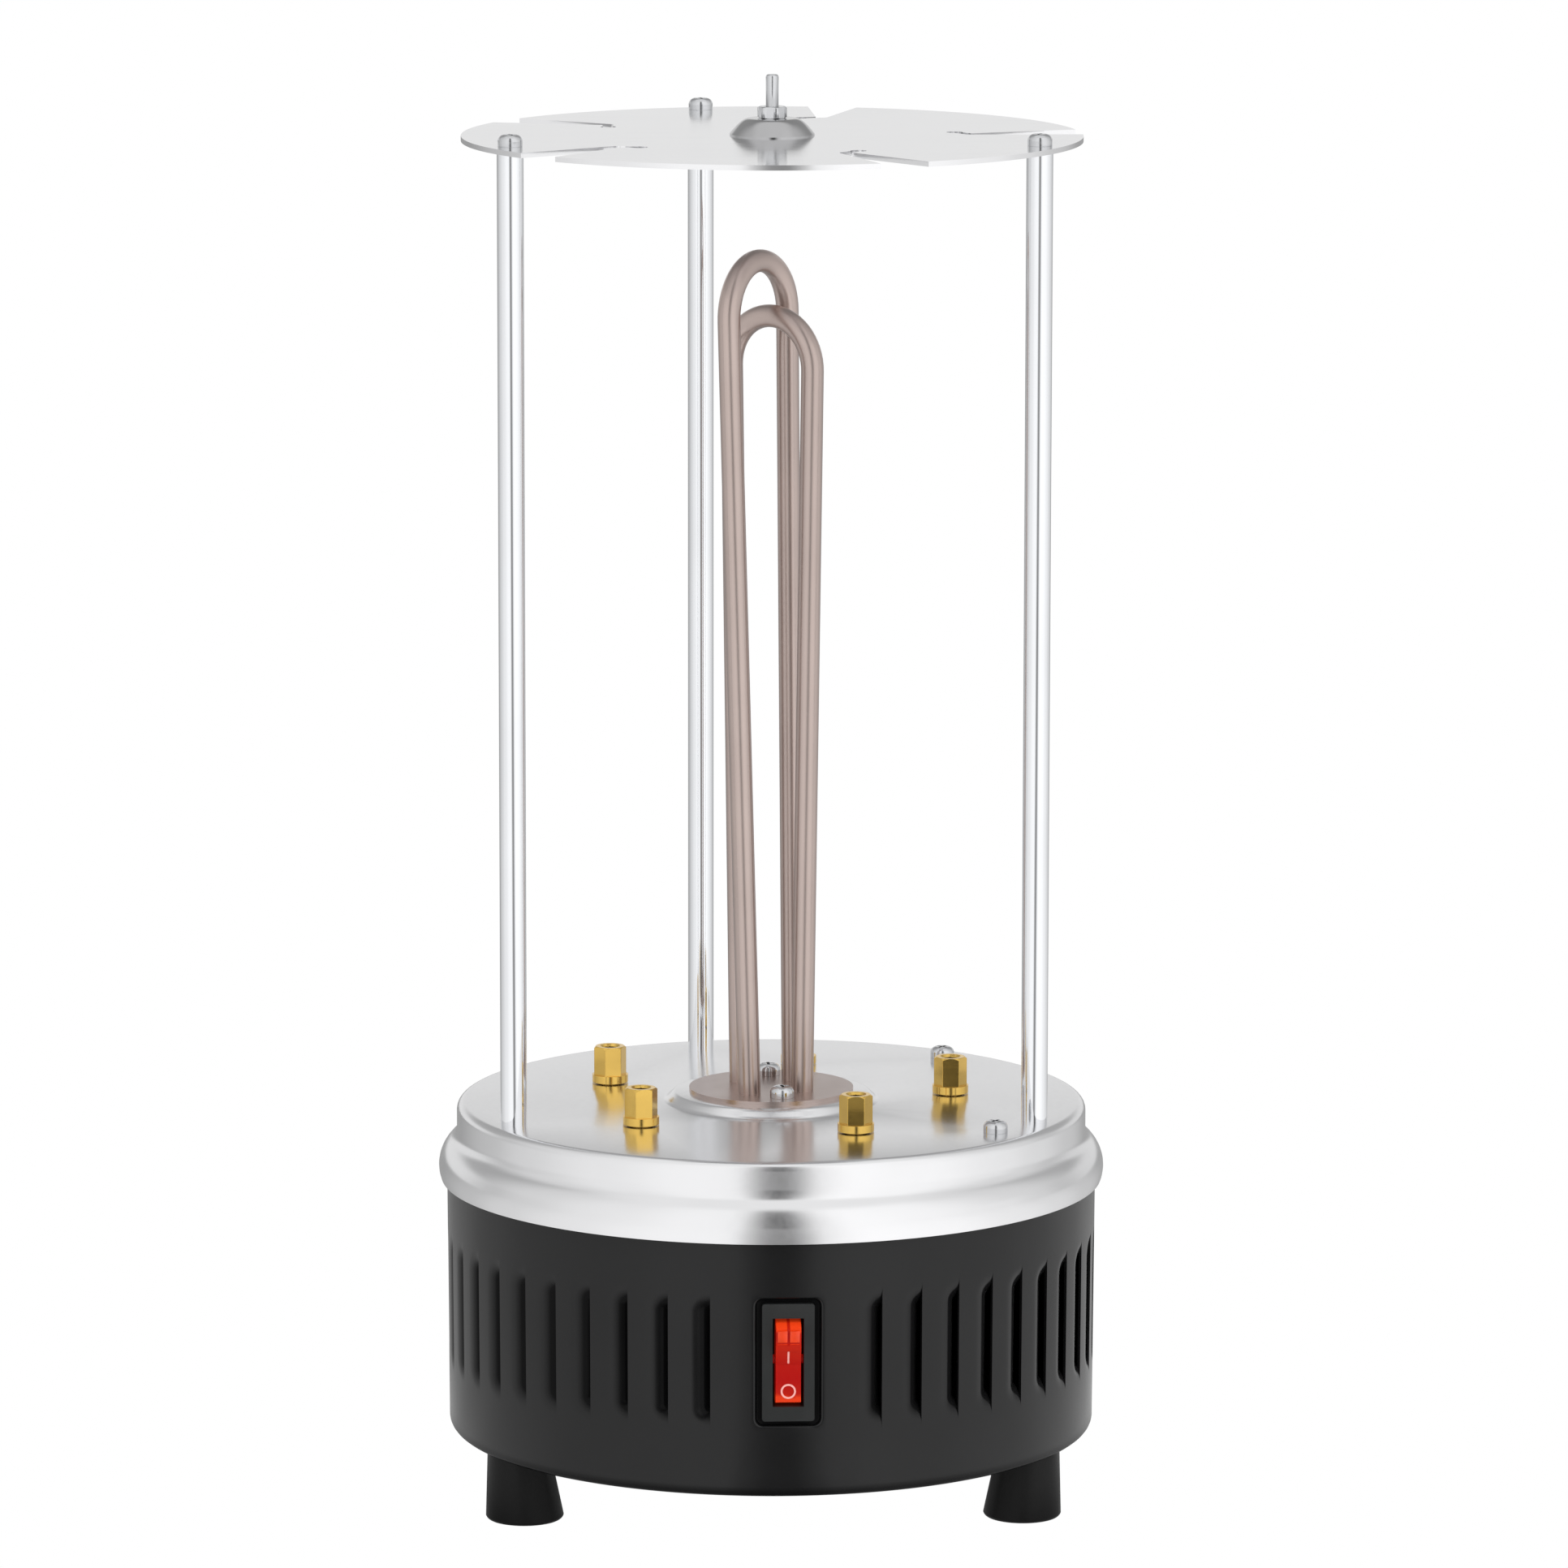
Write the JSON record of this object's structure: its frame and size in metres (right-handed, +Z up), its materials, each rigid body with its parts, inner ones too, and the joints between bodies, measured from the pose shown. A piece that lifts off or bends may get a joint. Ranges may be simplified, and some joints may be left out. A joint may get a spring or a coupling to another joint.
{
  "type": "electric skewer grill",
  "caption": "Upright electric grill: brass sockets on a bright round pan turn skewers around looped heater tubes, over a louvred black drum with a gear drive.",
  "frame": {"origin": "on the floor, under the middle of the drum", "axes": "+Z up, -Y the front with the switch, +X to the right seen from the front"},
  "size_m": [0.184, 0.184, 0.3951],
  "materials": {
    "black_enamel": "satin black paint",
    "pan_steel": "polished sheet",
    "plate_steel": "satin sheet",
    "post_chrome": "bright",
    "zinc_steel": "zinc plated",
    "heater_sheath": "heat-tinted satin",
    "socket_brass": "turned and polished",
    "bush_bronze": "sintered",
    "pinion_brass": "plain",
    "gear_plastic": "moulded",
    "spring_steel": "phosphated",
    "carrier_steel": "plated sheet",
    "motor_steel": "plated",
    "ceramic": null,
    "foot_rubber": "matte black",
    "switch_black": "semi-gloss",
    "rocker_red": "translucent red",
    "block_white": "moulded"
  },
  "bodies": {
    "base": {"housing": "black_enamel", "pan": "pan_steel", "foot_left": "foot_rubber", "foot_right": "foot_rubber", "foot_rear": "foot_rubber", "foot_nuts": "zinc_steel", "foot_washers": "zinc_steel", "tie_rods": "zinc_steel", "post_left": "post_chrome", "post_right": "post_chrome", "post_rear": "post_chrome", "post_screws": "zinc_steel", "top_plate": "plate_steel", "domed_washer": "plate_steel", "centre_bolt": "zinc_steel", "centre_nut": "zinc_steel", "heater_loop_tall": "heater_sheath", "heater_loop_short": "heater_sheath", "heater_flange": "heater_sheath", "flange_screws": "zinc_steel", "flange_nuts": "zinc_steel", "heater_beads": "ceramic", "heater_pins": "zinc_steel", "carrier_plate": "carrier_steel", "carrier_screws": "zinc_steel", "carrier_nuts": "zinc_steel", "spacer_sleeves": "zinc_steel", "pan_bushes": "bush_bronze", "carrier_bushes": "bush_bronze", "gear_hub": "carrier_steel", "hub_clip": "spring_steel", "motor_can": "motor_steel", "motor_screws": "zinc_steel", "switch_body": "switch_black", "switch_tabs": "pinion_brass", "terminal_block": "block_white", "block_screws": "zinc_steel", "cable_grommet": "foot_rubber"},
    "ring": {"ring_gear": "gear_plastic"},
    "pinion": {"motor_shaft": "zinc_steel", "motor_pinion": "pinion_brass"},
    "rocker": {"switch_rocker": "rocker_red"},
    "spindle_1": {"socket_1": "socket_brass", "spindle_gear_1": "gear_plastic", "spindle_clip_1": "spring_steel"},
    "spindle_2": {"socket_2": "socket_brass", "spindle_gear_2": "gear_plastic", "spindle_clip_2": "spring_steel"},
    "spindle_3": {"socket_3": "socket_brass", "spindle_gear_3": "gear_plastic", "spindle_clip_3": "spring_steel"},
    "spindle_4": {"socket_4": "socket_brass", "spindle_gear_4": "gear_plastic", "spindle_clip_4": "spring_steel"},
    "spindle_5": {"socket_5": "socket_brass", "spindle_gear_5": "gear_plastic", "spindle_clip_5": "spring_steel"}
  },
  "joints": [
    {"name": "ring_spin", "type": "hinge", "parent": "base", "child": "ring", "pos_m": [0, 0, 0.104], "axis": [0, 0, 1], "continuous": true},
    {"name": "spindle_1_spin", "type": "hinge", "parent": "base", "child": "spindle_1", "pos_m": [0.0501, 0.00544, 0.104], "axis": [0, 0, 1], "continuous": true},
    {"name": "spindle_2_spin", "type": "hinge", "parent": "base", "child": "spindle_2", "pos_m": [0.01031, 0.04933, 0.104], "axis": [0, 0, 1], "continuous": true},
    {"name": "spindle_3_spin", "type": "hinge", "parent": "base", "child": "spindle_3", "pos_m": [-0.04374, 0.02505, 0.104], "axis": [0, 0, 1], "continuous": true},
    {"name": "spindle_4_spin", "type": "hinge", "parent": "base", "child": "spindle_4", "pos_m": [-0.03734, -0.03386, 0.104], "axis": [0, 0, 1], "continuous": true},
    {"name": "spindle_5_spin", "type": "hinge", "parent": "base", "child": "spindle_5", "pos_m": [0.02066, -0.04597, 0.104], "axis": [0, 0, 1], "continuous": true},
    {"name": "motor_spin", "type": "hinge", "parent": "base", "child": "pinion", "pos_m": [-0.01762, 0.03921, 0.104], "axis": [0, 0, 1], "continuous": true},
    {"name": "rocker_tilt", "type": "hinge", "parent": "base", "child": "rocker", "pos_m": [0, -0.08447, 0.0571], "axis": [-1, 0, 0], "range_deg": [0, 16]}
  ],
  "couplings": [
    {"joint": "spindle_1_spin", "follows": "ring_spin", "ratio": -2.0909},
    {"joint": "spindle_2_spin", "follows": "ring_spin", "ratio": -2.0909},
    {"joint": "spindle_3_spin", "follows": "ring_spin", "ratio": -2.0909},
    {"joint": "spindle_4_spin", "follows": "ring_spin", "ratio": -2.0909},
    {"joint": "spindle_5_spin", "follows": "ring_spin", "ratio": -2.0909},
    {"joint": "motor_spin", "follows": "ring_spin", "ratio": -3.8333}
  ]
}
